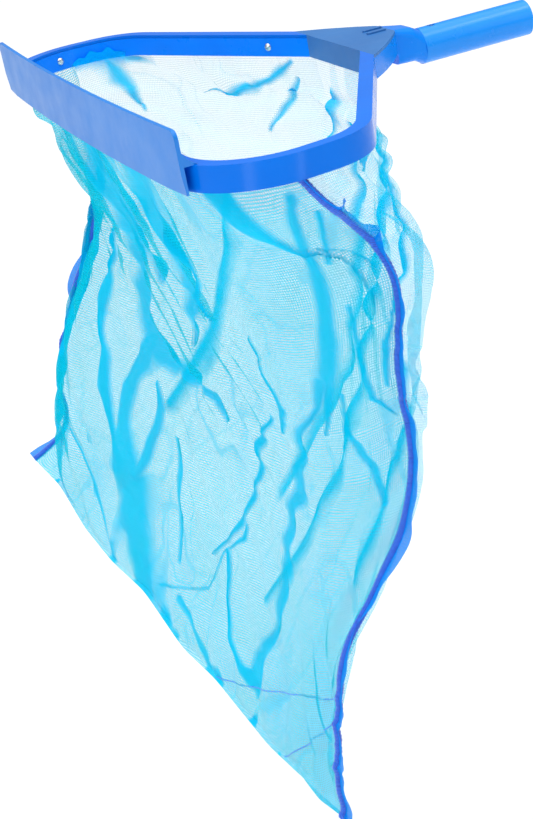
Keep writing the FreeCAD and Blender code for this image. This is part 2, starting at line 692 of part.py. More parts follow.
def build_seams():
    """Overlock thread and seam allowance down both sides of the bag."""
    thick, thread, wide = size("net_thick"), size("thread_width"), size("allowance_width")
    gap = size("fit_gap") + thick
    start = gap + thread + size("fit_gap")
    for side, share in (("near", 1), ("far", 0)):
        feature_of(side + "_seam_thread", sheet_solid(edge_strip(share, gap, gap + thread), thick))
        feature_of(side + "_seam_allowance", sheet_solid(edge_strip(share, start, start + wide), thick))


def stitch(name, points):
    """A row of stitches as a flat ribbon along points, just in front of the net."""
    down = Vector(0, 0, -size("stitch_width"))
    rows = [points, [point + down for point in points]]
    feature_of(name, sheet_solid(rows, size("net_thick") / 2))


def build_stitches():
    """Stitch lines across both bottom corners and the level one above the bottom edge."""
    rim = front_rim()
    last = len(rim) - 1
    clear = -size("bottom_gap") * 1.5
    inset, rise = Vector(0, size("stitch_inset"), 0), Vector(0, 0, size("stitch_rise"))

    def at(column, fall):
        return net_point(rim[column], column / last, fall, clear)

    stitch("near_corner_stitch", [at(last, STITCH_FALL) + inset, at(last - 2, 1) + rise])
    stitch("far_corner_stitch", [at(0, STITCH_FALL) - inset, at(2, 1) + rise])
    stitch("bottom_stitch", [at(column, STITCH_FALL) for column in range(last - 4, last)])


# ---- build, check and export ---------------------------------------------------------------------------
build_hoop()
build_strips()
build_strip_screws()
build_blade()
build_yoke()
build_cover()
build_cover_screws()
build_tube()
build_rivet()
build_clip()
build_hem()
drill_for_screws()
build_net()
build_seams()
build_stitches()
doc.recompute()

for thing in doc.Objects:
    if "Invalid" in thing.State or "Error" in thing.State:
        raise ValueError(thing.Name + " failed: " + ", ".join(thing.State))

os.makedirs("parts", exist_ok=True)
for name, part in nodes.items():
    part.Label = name
    if part.Shape.isNull() or not part.Shape.isValid():
        raise ValueError(name + " has a null or invalid shape")
    part.Shape.exportStep("parts/" + name + ".step")
    print(name, len(part.Shape.Solids), round(part.Shape.Volume))
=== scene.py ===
import math

import bpy
import numpy as np
from mathutils import Matrix, Vector


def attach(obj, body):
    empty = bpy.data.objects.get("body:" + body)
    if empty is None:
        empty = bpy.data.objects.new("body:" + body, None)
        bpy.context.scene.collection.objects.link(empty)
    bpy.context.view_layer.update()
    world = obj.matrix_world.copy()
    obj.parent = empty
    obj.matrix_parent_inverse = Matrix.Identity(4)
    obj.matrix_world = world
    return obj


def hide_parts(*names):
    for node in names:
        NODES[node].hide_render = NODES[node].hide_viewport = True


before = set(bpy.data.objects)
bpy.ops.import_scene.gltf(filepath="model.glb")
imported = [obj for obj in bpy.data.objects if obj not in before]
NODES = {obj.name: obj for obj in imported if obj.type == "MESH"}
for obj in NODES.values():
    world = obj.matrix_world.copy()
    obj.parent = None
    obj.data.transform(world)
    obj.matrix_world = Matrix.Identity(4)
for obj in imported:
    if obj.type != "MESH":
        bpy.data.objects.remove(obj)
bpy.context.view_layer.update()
RNG = np.random.default_rng(7)
MM = 0.001

# The hoop's plan, as in the CAD model: the inner outline of the mouth, half of it, from the front to the yoke.
FRONT_X, FRONT_HALF = -0.2835, 0.272
SIDE_X, SIDE_HALF = -0.180, 0.260
ARM_X, ARM_HALF = -0.077, 0.053
CORNER_RADII = (0.056, 0.046, 0.004)
RIM_OFFSET = 0.003
RIM_Z = 0.0030
SEAM_X = -0.228
NEAR_TIP = Vector((-0.278, -0.258, -0.503))
FAR_TIP = Vector((-0.360, 0.246, -0.358))


# ---- camera, lights, floor --------------------------------------------------------------------------------------
CAMERA_PLACE = (-0.59596, -1.23242, 0.30139)
CAMERA_FORWARD = (0.28419565, 0.86918551, -0.40465959)
CAMERA_UP = (0.306, 0.318, 0.897)
CAMERA_LENS = 71.69
FLOOR_REACH, FLOOR_LEVEL = 9, -0.70


def add_camera():
    data = bpy.data.cameras.new("camera")
    camera = bpy.data.objects.new("camera", data)
    bpy.context.scene.collection.objects.link(camera)
    forward = Vector(CAMERA_FORWARD).normalized()
    up = Vector(CAMERA_UP)
    right = forward.cross(up).normalized()
    up = right.cross(forward).normalized()
    turn = Matrix((right, up, -forward)).transposed().to_4x4()
    camera.matrix_world = Matrix.Translation(Vector(CAMERA_PLACE)) @ turn
    data.sensor_fit = "VERTICAL"
    data.sensor_height = 36
    data.lens = CAMERA_LENS
    data.clip_end = 50
    bpy.context.scene.camera = camera


def area_light(name, place, target, size, power):
    data = bpy.data.lights.new(name, "AREA")
    data.shape = "RECTANGLE"
    data.size, data.size_y = size
    data.energy = power
    lamp = bpy.data.objects.new(name, data)
    bpy.context.scene.collection.objects.link(lamp)
    lamp.location = place
    lamp.rotation_euler = (Vector(target) - Vector(place)).to_track_quat("-Z", "Y").to_euler()


def add_studio():
    scene = bpy.context.scene
    scene.view_settings.view_transform = "Standard"
    scene.view_settings.look = "None"
    world = bpy.data.worlds.new("studio")
    world.use_nodes = True
    background = world.node_tree.nodes["Background"]
    background.inputs["Color"].default_value = (1.0, 1.0, 1.0, 1)
    nodes, links = world.node_tree.nodes, world.node_tree.links
    direction = nodes.new("ShaderNodeTexCoord").outputs["Generated"]
    height = nodes.new("ShaderNodeSeparateXYZ")
    links.new(direction, height.inputs[0])
    overhead = nodes.new("ShaderNodeMapRange")
    overhead.interpolation_type = "SMOOTHSTEP"
    for socket, value in (("From Min", 0.55), ("From Max", 0.85), ("To Min", 0.32), ("To Max", 1.95)):
        overhead.inputs[socket].default_value = value
    links.new(height.outputs[2], overhead.inputs["Value"])
    links.new(overhead.outputs[0], background.inputs["Strength"])
    scene.world = world
    middle = (-0.2, 0, -0.2)
    area_light("top_softbox", (-0.5, -0.2, 1.9), middle, (1.8, 1.4), 14)
    area_light("left_softbox", (-2.1, -1.0, 0.7), middle, (1.2, 1.6), 12)
    area_light("right_softbox", (1.3, -1.7, 0.9), middle, (0.9, 1.4), 5)
    area_light("handle_softbox", (1.0, -0.4, 1.75), (0.06, 0, 0), (0.7, 0.22), 2.6)
    area_light("low_front_card", (0.25, -1.64, -0.38), (-0.2, -0.27, 0), (0.22, 0.5), 1.2)
    area_light("low_left_card", (-1.16, -1.28, -0.38), (-0.27, -0.27, 0), (0.3, 0.5), 1.6)
    data = bpy.data.meshes.new("floor")
    corners = [(x * FLOOR_REACH, y * FLOOR_REACH, FLOOR_LEVEL) for x, y in ((-1, -1), (1, -1), (1, 1), (-1, 1))]
    data.from_pydata(corners, [], [(0, 1, 2, 3)])
    floor = bpy.data.objects.new("floor", data)
    scene.collection.objects.link(floor)
    floor.data.materials.append(floor_paper())


# ---- materials --------------------------------------------------------------------------------------------------
class Graph:
    """A small helper that builds one material's nodes."""

    def __init__(self, name):
        self.material = bpy.data.materials.new(name)
        self.material.use_nodes = True
        self.tree = self.material.node_tree
        self.tree.nodes.clear()
        self.output = self.tree.nodes.new("ShaderNodeOutputMaterial")

    def node(self, kind, inputs=None, **settings):
        made = self.tree.nodes.new("ShaderNode" + kind)
        for key, value in settings.items():
            setattr(made, key, value)
        for key, value in (inputs or {}).items():
            socket = made.inputs[key]
            if isinstance(value, bpy.types.NodeSocket):
                self.tree.links.new(value, socket)
            else:
                socket.default_value = value
        return made

    def math(self, operation, first, second=None, third=None):
        made = self.tree.nodes.new("ShaderNodeMath")
        made.operation = operation
        for index, value in enumerate((first, second, third)):
            if value is None:
                continue
            if isinstance(value, bpy.types.NodeSocket):
                self.tree.links.new(value, made.inputs[index])
            else:
                made.inputs[index].default_value = value
        return made.outputs[0]

    def ramp(self, factor, *stops):
        made = self.tree.nodes.new("ShaderNodeValToRGB")
        self.tree.links.new(factor, made.inputs[0])
        elements = made.color_ramp.elements
        while len(elements) < len(stops):
            elements.new(0.5)
        for element, (position, colour) in zip(elements, stops):
            element.position = position
            element.color = colour if len(colour) == 4 else (*colour, 1)
        return made.outputs[0]

    def finish(self, shader):
        self.tree.links.new(shader, self.output.inputs["Surface"])
        return self.material


def srgb(red, green, blue):
    """A linear colour from 0-255 values as they are seen on a screen."""
    channels = [c / 255 for c in (red, green, blue)]
    return tuple(c / 12.92 if c <= 0.04045 else ((c + 0.055) / 1.055) ** 2.4 for c in channels) + (1,)


def floor_paper():
    g = Graph("studio_paper")
    noise = g.node("TexNoise", {"Scale": 2.0, "Detail": 2.0})
    colour = g.ramp(noise.outputs["Fac"], (0.3, (0.90, 0.90, 0.905)), (0.7, (0.92, 0.92, 0.92)))
    return g.finish(g.node("BsdfPrincipled", {"Base Color": colour, "Roughness": 0.9}).outputs[0])


def moulded(name, light, dark, roughness=0.28, specular=0.5):
    """Injection-moulded plastic: faint flow marks in the colour, fine grain and slight handling wear."""
    g = Graph(name)
    place = g.node("TexCoord").outputs["Object"]
    flow = g.node("TexNoise", {"Vector": place, "Scale": 14.0, "Detail": 3.0, "Roughness": 0.55})
    colour = g.ramp(flow.outputs["Fac"], (0.32, dark), (0.68, light))
    smudge = g.node("TexNoise", {"Vector": place, "Scale": 45.0, "Detail": 4.0, "Roughness": 0.6})
    gloss = g.node("MapRange", {"Value": smudge.outputs["Fac"], "From Min": 0.3, "From Max": 0.7,
                                "To Min": roughness - 0.05, "To Max": roughness + 0.07})
    fine = g.node("TexNoise", {"Vector": place, "Scale": 900.0, "Detail": 2.0})
    wave = g.node("TexNoise", {"Vector": place, "Scale": 60.0, "Detail": 1.0})
    height = g.math("ADD", fine.outputs["Fac"], g.math("MULTIPLY", wave.outputs["Fac"], 2.5))
    relief = g.node("Bump", {"Height": height, "Strength": 0.03, "Distance": 0.0006})
    shader = g.node("BsdfPrincipled", {
        "Base Color": colour, "Roughness": gloss.outputs[0], "Normal": relief.outputs[0],
        "Specular IOR Level": specular})
    return g.finish(shader.outputs[0])


def steel(name, tone, roughness):
    """Plated or turned steel, with fine marks in its colour and gloss."""
    g = Graph(name)
    place = g.node("TexCoord").outputs["Object"]
    noise = g.node("TexNoise", {"Vector": place, "Scale": 900.0, "Detail": 3.0})
    shade = (tone * 0.8, tone * 0.81, tone * 0.83)
    colour = g.ramp(noise.outputs["Fac"], (0.3, shade), (0.7, (tone, tone, tone)))
    rough = g.node("MapRange", {"Value": noise.outputs["Fac"], "To Min": roughness - 0.1,
                                "To Max": roughness + 0.12})
    relief = g.node("Bump", {"Height": noise.outputs["Fac"], "Strength": 0.12, "Distance": 0.0003})
    shader = g.node("BsdfPrincipled", {"Base Color": colour, "Metallic": 1.0, "Roughness": rough.outputs[0],
                                       "Normal": relief.outputs[0]})
    return g.finish(shader.outputs[0])


def knit_pattern(g, pitch):
    """Thread coverage of a fine knitted mesh, 1 on a thread and 0 in a hole, from the cut-size UVs in metres."""
    spot = g.node("SeparateXYZ", {0: g.node("UVMap", uv_map="cut").outputs[0]})
    across, down = spot.outputs[0], spot.outputs[1]
    turn = 2 * math.pi / pitch
    cut_place = g.node("UVMap", uv_map="cut").outputs[0]
    wobble = g.node("TexNoise", {"Vector": cut_place, "Scale": 60.0, "Detail": 1.0})
    shift = g.math("MULTIPLY", wobble.outputs["Fac"], pitch * 0.5)
    column = g.math("SINE", g.math("MULTIPLY", g.math("ADD", across, shift), turn))
    row = g.math("SINE", g.math("MULTIPLY", g.math("ADD", down, shift), turn * 0.8))
    hole = g.math("MULTIPLY", g.math("ADD", column, row), 0.5)
    ends = {"Value": hole, "From Min": -0.05, "From Max": 0.55, "To Min": 1.0, "To Max": 0.0}
    return g.node("MapRange", ends, interpolation_type="SMOOTHSTEP").outputs[0]


def netting(name, thread_colour, shade_colour, cover, hole_cover, pitch=0.0019):
    """Fine dyed mesh: threads scatter and pass light, holes are open. Where the cloth is bunched or folded, an
    attribute per point shuts the holes and deepens the colour: the closer mesh is real, and the deeper colour is
    partly the doubled cloth and partly painted fold and crease shade. A noise adds random dye tone."""
    g = Graph(name)
    pattern = knit_pattern(g, pitch)
    place = g.node("TexCoord").outputs["Object"]
    closeness_and_fold_shade = g.node("Attribute", attribute_name="closeness_and_fold_shade").outputs["Fac"]
    dye = g.node("TexNoise", {"Vector": place, "Scale": 22.0, "Detail": 3.0})
    # The colour deepens with closeness, partly for doubled cloth and partly as painted fold and crease shade; the
    # dye noise adds random tone.
    dye_tone_and_fold_shade = g.math("MULTIPLY_ADD", closeness_and_fold_shade, 0.55, g.math("MULTIPLY", dye.outputs["Fac"], 0.5))
    colour = g.ramp(dye_tone_and_fold_shade, (0.15, thread_colour), (0.75, shade_colour))
    relief = g.node("Bump", {"Height": pattern, "Strength": 0.35, "Distance": 0.0004})
    scatter = g.node("BsdfPrincipled", {
        "Base Color": colour, "Roughness": 0.55, "Normal": relief.outputs[0], "Sheen Weight": 0.02,
        "Sheen Roughness": 0.4, "Specular IOR Level": 0.06})
    glow = g.node("BsdfTranslucent", {"Color": colour, "Normal": relief.outputs[0]})
    cloth = g.node("MixShader", {0: 0.5, 1: scatter.outputs[0], 2: glow.outputs[0]})
    open_ends = {"Value": pattern, "To Min": hole_cover, "To Max": cover}
    open_alpha = g.node("MapRange", open_ends).outputs[0]
    closed_ends = {"Value": pattern, "To Min": 0.975, "To Max": 1.0}
    closed_alpha = g.node("MapRange", closed_ends).outputs[0]
    gap = g.math("SUBTRACT", closed_alpha, open_alpha)
    alpha = g.math("MULTIPLY_ADD", gap, closeness_and_fold_shade, open_alpha)
    clear = g.node("BsdfTransparent")
    return g.finish(g.node("MixShader", {0: alpha, 1: clear.outputs[0], 2: cloth.outputs[0]}).outputs[0])


def twisted(name, light, dark, pitch=0.0016):
    """Sewing thread: short slanted strands, whose colour goes dark where their relief sinks, a painted groove
    shade, and varies at random with the noise.
    """
    g = Graph(name)
    uv = g.node("SeparateXYZ", {0: g.node("UVMap", uv_map="cut").outputs[0]})
    slant = g.math("ADD", uv.outputs[1], g.math("MULTIPLY", uv.outputs[0], 0.6))
    strand = g.math("SINE", g.math("MULTIPLY", slant, 2 * math.pi / pitch))
    noise = g.node("TexNoise", {"Vector": g.node("TexCoord").outputs["Object"], "Scale": 500.0, "Detail": 2.0})
    relief_and_groove_shade = g.math("MULTIPLY_ADD", strand, 0.3, noise.outputs["Fac"])
    # Dark where the relief sinks between strands: painted groove shade, with random tone from the noise.
    colour = g.ramp(relief_and_groove_shade, (0.2, dark), (0.75, light))
    relief = g.node("Bump", {"Height": relief_and_groove_shade, "Strength": 0.6, "Distance": 0.0004})
    shader = g.node("BsdfPrincipled", {"Base Color": colour, "Roughness": 0.6, "Normal": relief.outputs[0],
                                       "Sheen Weight": 0.3})
    return g.finish(shader.outputs[0])


HOOP_BLUE = moulded("hoop_blue", srgb(0, 112, 222), srgb(0, 106, 216), roughness=0.2, specular=0.13)
STRIP_BLUE = moulded("strip_blue", srgb(0, 136, 254), srgb(0, 126, 248), specular=0.15)
BLADE_BLUE = moulded("blade_blue", srgb(12, 122, 210), srgb(10, 118, 207), roughness=0.36, specular=0.36)
YOKE_BLUE = moulded("yoke_blue", srgb(0, 132, 238), srgb(0, 124, 232), roughness=0.24, specular=0.2)
COVER_BLUE = moulded("cover_blue", srgb(52, 118, 184), srgb(38, 104, 172), roughness=0.42, specular=0.45)
TUBE_BLUE = moulded("tube_blue", srgb(0, 140, 238), srgb(0, 134, 232), roughness=0.22, specular=0.36)
SCREW_STEEL = steel("screw_steel", 0.78, 0.25)
SPRING_STEEL = steel("spring_steel", 0.5, 0.35)
BUTTON_STEEL = steel("button_steel", 0.7, 0.22)
FRONT_NET = netting("front_net", srgb(0, 200, 216), srgb(0, 202, 240), 0.70, 0.05, 0.0017)
BACK_NET = netting("back_net", srgb(10, 214, 234), srgb(0, 206, 252), 0.30, 0.05, 0.0015)
ALLOWANCE_NET = netting("allowance_net", srgb(0, 140, 236), srgb(0, 116, 228), 0.97, 0.80)
THREAD_BLUE = twisted("overlock_blue", srgb(24, 108, 226), srgb(6, 60, 176))
STITCH_BLUE = twisted("stitch_blue", srgb(50, 160, 240), srgb(20, 110, 220), 0.003)
HEM_CYAN = netting("hem_cyan", srgb(70, 200, 250), srgb(30, 170, 240), 0.9, 0.6)
CORD_WHITE = twisted("cord_fibre", srgb(225, 230, 235), srgb(170, 180, 190))


# ---- the hard parts ---------------------------------------------------------------------------------------------
def dress(name, material, bevel):
    """Gives a CAD node its material, and small rounded edges where the moulding has them."""
    thing = NODES[name]
    thing.data.materials.clear()
    thing.data.materials.append(material)
    weld = thing.modifiers.new("weld", "WELD")
    weld.merge_threshold = 0.00001
    edges = thing.modifiers.new("edges", "BEVEL")
    edges.width = bevel
    edges.segments = 3
    edges.limit_method = "ANGLE"
    edges.angle_limit = math.radians(32)
    edges.use_clamp_overlap = True
    shade = thing.modifiers.new("shade", "WEIGHTED_NORMAL")
    shade.keep_sharp = False
    shade.weight = 60


def dress_frame():
    dress("hoop_frame", HOOP_BLUE, 0.0008)
    for name in ("left_strip", "right_strip", "front_strip"):
        dress(name, STRIP_BLUE, 0.0005)
    dress("scoop_blade", BLADE_BLUE, 0.0006)
    dress("yoke_body", YOKE_BLUE, 0.0006)
    dress("yoke_cover", COVER_BLUE, 0.0005)
    dress("handle_tube", TUBE_BLUE, 0.0007)
    dress("strip_screws", SCREW_STEEL, 0.00015)
    dress("cover_screws", SCREW_STEEL, 0.00015)
    dress("tube_rivet", SCREW_STEEL, 0.0002)
    dress("clip_fixed_leg", SPRING_STEEL, 0.0002)
    dress("clip_spring_leg", SPRING_STEEL, 0.0002)
    dress("lock_button", BUTTON_STEEL, 0.0004)


# ---- the bag's cut and first shape ------------------------------------------------------------------------------
def rounded_plan(offset):
    """The mouth's outline moved out by offset, as points from the front middle round the +Y side to the yoke."""
    corners = [(FRONT_X, 0), (FRONT_X, FRONT_HALF), (SIDE_X, SIDE_HALF), (ARM_X, ARM_HALF), (ARM_X, 0)]
    corners = [Vector(c) for c in corners]
    lines = []
    for a, b in zip(corners, corners[1:]):
        along = (b - a).normalized()
        out = Vector((-along.y, along.x))
        lines.append((a + out * offset, along))
    moved = [lines[0][0]]
    for (p, d), (q, e) in zip(lines, lines[1:]):
        cross = d.x * e.y - d.y * e.x
        reach = ((q.x - p.x) * e.y - (q.y - p.y) * e.x) / cross
        moved.append(p + d * reach)
    moved.append(Vector((lines[-1][0].x, 0)))
    points = [moved[0]]
    for before, corner, after, radius in zip(moved, moved[1:], moved[2:], CORNER_RADII):
        into, away = (before - corner).normalized(), (after - corner).normalized()
        half = into.angle(away) / 2
        round_radius = radius + offset
        centre = corner + (into + away).normalized() * (round_radius / math.sin(half))
        start = corner + into * (round_radius / math.tan(half))
        end = corner + away * (round_radius / math.tan(half))
        first, last = (start - centre).normalized(), (end - centre).normalized()
        for step in range(13):
            points.append(centre + first.slerp(last, step / 12).normalized() * round_radius)
    points.append(moved[-1])
    return points


def resample(points, count):
    """count points evenly spaced along a line of points, ends included."""
    points = np.array(points, float)
    steps = np.linalg.norm(np.diff(points, axis=0), axis=1)
    travelled = np.concatenate([[0], np.cumsum(steps)])
    wanted = np.linspace(0, travelled[-1], count)
    return np.stack([np.interp(wanted, travelled, points[:, k]) for k in range(points.shape[1])], axis=1)


def rim_runs(offset=RIM_OFFSET):
    """The rim as two runs in plan, both from the far seam to the near one: the front panel's and the back's."""
    side = [tuple(p) for p in rounded_plan(offset)]
    whole = resample(side, 2000)
    cut = int(np.argmin(np.abs(whole[:, 0] - SEAM_X) + (whole[:, 1] < 0.2)))
    front_half, back_half = whole[:cut + 1], whole[cut:]
    front = np.concatenate([front_half[::-1], front_half[1:] * (1, -1)])
    back = np.concatenate([back_half, back_half[-2::-1] * (1, -1)])
    return front, back


ROWS = 112
COLUMNS = 116
FINER = 3
PANEL_DROP = 0.62
FULLNESS = 1.025
# The panels' widths, which scale the mesh pattern. The hang itself uses the first shape's own spacing.
TOP_WIDTH, MIDDLE_WIDTH, BOTTOM_WIDTH = 0.670, 0.672, 0.560
DROP_FULLNESS = 1.02
# The solver: steps, seconds a step, what is kept of the speed, and how hard the shape and seams are held.
STEPS, QUICK_STEPS = 150, 20
TICK, KEPT_SPEED, SHAPE_HOLD, SEAM_HOLD = 0.012, 0.93, 0.3, 0.25
GRAVITY = np.array((-0.165, 0.05, -0.985)) * 9.81
# The row where each seam's thread begins. The far one starts lower, so that none shows inside the mouth.
NEAR_START, FAR_START = 0, 13

# How far the bag swings towards the handle, in millimetres, at shares of the way down: at its near seam, on its
# front panel's far side, and at its far seam.
NEAR_SWING = ((0, 0), (0.04, 16), (0.10, 56), (0.16, 78), (0.22, 78), (0.30, 68), (0.40, 76), (0.47, 75),
              (0.55, 62), (0.60, 44), (0.66, 32), (0.70, 8), (0.80, 0), (0.92, -4), (1, 0))
FAR_SWING = ((0, 0), (0.04, 24), (0.08, 28), (0.13, 28), (0.2, 40), (0.3, 66), (0.4, 58), (0.5, 34), (0.62, 10),
             (0.73, 0), (0.88, 0), (1, 0))
FAR_SEAM_SWING = ((0, 0), (0.12, 6), (0.3, 34), (0.5, 32), (0.6, 24), (0.72, 18), (0.85, 22), (0.94, 38),
                  (1, 0))
# How far the bottom edge hangs below the line between its corners, in millimetres, from the far one to the near.
BOTTOM_SAG = ((0, 0), (0.10, -3), (0.20, 11), (0.30, 13), (0.41, 6), (0.54, 17), (0.64, 11), (0.80, 15), (0.9, 8),
              (1, 0))
# Swells that the sheets hang in before they settle: share across at the rim and at the bottom, width and height in
# millimetres, and the shares of the way down between which each runs.
SWELLS = ((0.10, 0.16, 11, 8, 0.02, 0.75), (0.20, 0.30, 9, -7, 0.04, 0.62), (0.30, 0.22, 10, 7, 0.10, 0.85),
          (0.42, 0.60, 9, -8, 0.02, 0.60), (0.52, 0.48, 12, 8, 0.25, 0.95), (0.60, 0.86, 9, 7, 0.05, 0.66),
          (0.70, 0.70, 12, -8, 0.30, 0.92), (0.80, 0.95, 9, 8, 0.00, 0.50), (0.90, 0.84, 10, 9, 0.06, 0.80))
BACK_SWELLS = ((0.12, 0.20, 12, 7, 0.02, 0.7), (0.28, 0.34, 11, -8, 0.03, 0.8), (0.42, 0.40, 12, 8, 0.04, 0.7),
               (0.50, 0.58, 10, -8, 0.03, 0.8), (0.60, 0.52, 11, 7, 0.05, 0.9), (0.72, 0.74, 12, -8, 0.02, 0.7),
               (0.85, 0.80, 11, 8, 0.02, 0.8))
# Pleats, where a narrow fold of mesh lies doubled on itself. Each is a path of points: share across, share of the
# way down, and half its width as a share of the panel's width.
PLEATS = (
    ((0.36, 0.05, 0.060), (0.39, 0.14, 0.060), (0.37, 0.24, 0.050), (0.34, 0.37, 0.030), (0.34, 0.45, 0.024),
     (0.37, 0.49, 0.034), (0.43, 0.51, 0.018), (0.52, 0.49, 0.012), (0.58, 0.49, 0.008), (0.61, 0.52, 0.002)),
    ((0.36, 0.49, 0.020), (0.33, 0.56, 0.018), (0.30, 0.62, 0.016), (0.30, 0.68, 0.018), (0.31, 0.75, 0.030),
     (0.34, 0.80, 0.050), (0.36, 0.88, 0.050), (0.39, 0.94, 0.040), (0.41, 0.99, 0.030)),
    ((0.24, 0.30, 0.004), (0.20, 0.43, 0.014), (0.20, 0.51, 0.012), (0.23, 0.58, 0.012), (0.24, 0.65, 0.014),
     (0.27, 0.71, 0.014), (0.30, 0.78, 0.030)),
    ((0.61, 0.03, 0.060), (0.60, 0.11, 0.060), (0.60, 0.19, 0.044), (0.60, 0.26, 0.026), (0.56, 0.33, 0.014),
     (0.55, 0.40, 0.003)),
    ((0.64, 0.15, 0.014), (0.67, 0.18, 0.014), (0.70, 0.20, 0.008), (0.67, 0.25, 0.006), (0.69, 0.28, 0.002)),
    ((0.90, 0.00, 0.016), (0.915, 0.04, 0.013), (0.92, 0.075, 0.008), (0.93, 0.10, 0.006), (0.95, 0.11, 0.003),
     (0.965, 0.125, 0.002), (0.97, 0.155, 0.002), (0.975, 0.20, 0.002), (0.975, 0.25, 0.001)),
    ((0.95, 0.105, 0.002), (0.975, 0.12, 0.002), (0.985, 0.14, 0.002), (0.99, 0.155, 0.001)),
    ((0.975, 0.02, 0.006), (0.96, 0.045, 0.006), (0.94, 0.10, 0.006), (0.93, 0.17, 0.008), (0.925, 0.225, 0.008),
     (0.923, 0.285, 0.010), (0.913, 0.345, 0.007), (0.90, 0.40, 0.003)),
    ((0.985, 0.05, 0.004), (0.965, 0.09, 0.004), (0.95, 0.13, 0.004)),
    ((0.91, 0.315, 0.007), (0.89, 0.365, 0.005), (0.845, 0.42, 0.007), (0.84, 0.465, 0.013), (0.80, 0.57, 0.013),
     (0.785, 0.64, 0.010), (0.775, 0.71, 0.009), (0.77, 0.79, 0.008), (0.755, 0.84, 0.010), (0.73, 0.89, 0.012),
     (0.74, 0.93, 0.008), (0.745, 0.95, 0.002)),
    ((0.95, 0.20, 0.003), (0.955, 0.25, 0.003), (0.96, 0.295, 0.004), (0.965, 0.34, 0.005), (0.99, 0.375, 0.001)),
    ((0.995, 0.205, 0.002), (0.985, 0.265, 0.005), (0.985, 0.325, 0.003)),
    ((0.93, 0.335, 0.004), (0.925, 0.39, 0.005), (0.94, 0.43, 0.006), (0.955, 0.46, 0.006), (0.97, 0.51, 0.004)),
    ((0.81, 0.26, 0.002), (0.81, 0.295, 0.002), (0.80, 0.34, 0.003), (0.81, 0.375, 0.004), (0.83, 0.385, 0.005),
     (0.81, 0.43, 0.003)),
    ((0.78, 0.42, 0.005), (0.71, 0.51, 0.007), (0.70, 0.58, 0.006), (0.66, 0.67, 0.004), (0.62, 0.74, 0.003),
     (0.58, 0.79, 0.003)),
    ((0.43, 0.665, 0.005), (0.45, 0.73, 0.008), (0.47, 0.80, 0.007), (0.485, 0.87, 0.005)),
    ((0.385, 0.57, 0.005), (0.395, 0.62, 0.009), (0.38, 0.68, 0.012), (0.365, 0.74, 0.014), (0.35, 0.78, 0.010)),
    ((0.62, 0.765, 0.004), (0.64, 0.84, 0.005), (0.665, 0.895, 0.007), (0.705, 0.925, 0.009), (0.73, 0.93, 0.008)),
    ((0.51, 0.925, 0.006), (0.55, 0.94, 0.009), (0.60, 0.97, 0.009), (0.62, 1.00, 0.008)),
    ((0.13, 0.82, 0.003), (0.19, 0.855, 0.006), (0.24, 0.91, 0.006), (0.28, 0.96, 0.006)),
    ((0.45, 0.945, 0.002), (0.50, 0.91, 0.002), (0.575, 0.86, 0.002), (0.61, 0.77, 0.002), (0.655, 0.72, 0.002),
     (0.66, 0.69, 0.002)),
    ((0.03, 0.35, 0.012), (0.04, 0.50, 0.022), (0.04, 0.65, 0.022), (0.05, 0.80, 0.016), (0.06, 0.88, 0.008)))
BACK_PLEATS = (
    ((0.00, 0.000, 0.020), (0.04, 0.010, 0.022), (0.09, 0.015, 0.014)),
    ((0.045, 0.02, 0.006), (0.055, 0.06, 0.009), (0.07, 0.10, 0.006), (0.085, 0.14, 0.002)),
    ((0.38, 0.01, 0.006), (0.34, 0.04, 0.008), (0.27, 0.07, 0.006), (0.20, 0.08, 0.002)),
    ((0.385, 0.04, 0.004), (0.36, 0.09, 0.007), (0.33, 0.15, 0.002)),
    ((0.47, 0.05, 0.004), (0.465, 0.10, 0.008), (0.455, 0.15, 0.003)),
    ((0.20, 0.25, 0.006), (0.26, 0.40, 0.012), (0.30, 0.55, 0.010), (0.28, 0.70, 0.014)),
    ((0.52, 0.10, 0.004), (0.55, 0.30, 0.010), (0.60, 0.50, 0.012), (0.56, 0.72, 0.010)),
    ((0.70, 0.02, 0.010), (0.72, 0.20, 0.014), (0.68, 0.40, 0.010), (0.70, 0.62, 0.012), (0.66, 0.85, 0.006)),
    ((0.86, 0.05, 0.006), (0.84, 0.25, 0.010), (0.88, 0.45, 0.008), (0.85, 0.70, 0.010)))


# Where each panel is gathered in stripes under the rim: share across, spread, reach down and strength.
FRONT_GATHER = (0.46, 0.26, 0.20, 0.55)
BACK_GATHER = (0.66, 0.20, 0.30, 0.35)
# Where the net bunches up inside the mouth, over the lower edge of the far strip.
PUCKER_X, PUCKER_REACH, PUCKER_RISE, PUCKER_IN = -0.203, 0.024, 0.012, 0.0065


def eased(knots, spots):
    """A smooth curve through listed values, given in millimetres, as metres."""
    where, values = np.array(knots).T
    fine = np.linspace(0, 1, 201)
    curve = np.interp(fine, where, values * MM)
    padded = np.concatenate([2 * curve[0] - curve[6:0:-1], curve, 2 * curve[-1] - curve[-2:-8:-1]])
    window = np.hanning(15)[1:-1]
    curve = np.convolve(padded, window / window.sum(), "valid")
    return np.interp(spots, fine, curve)


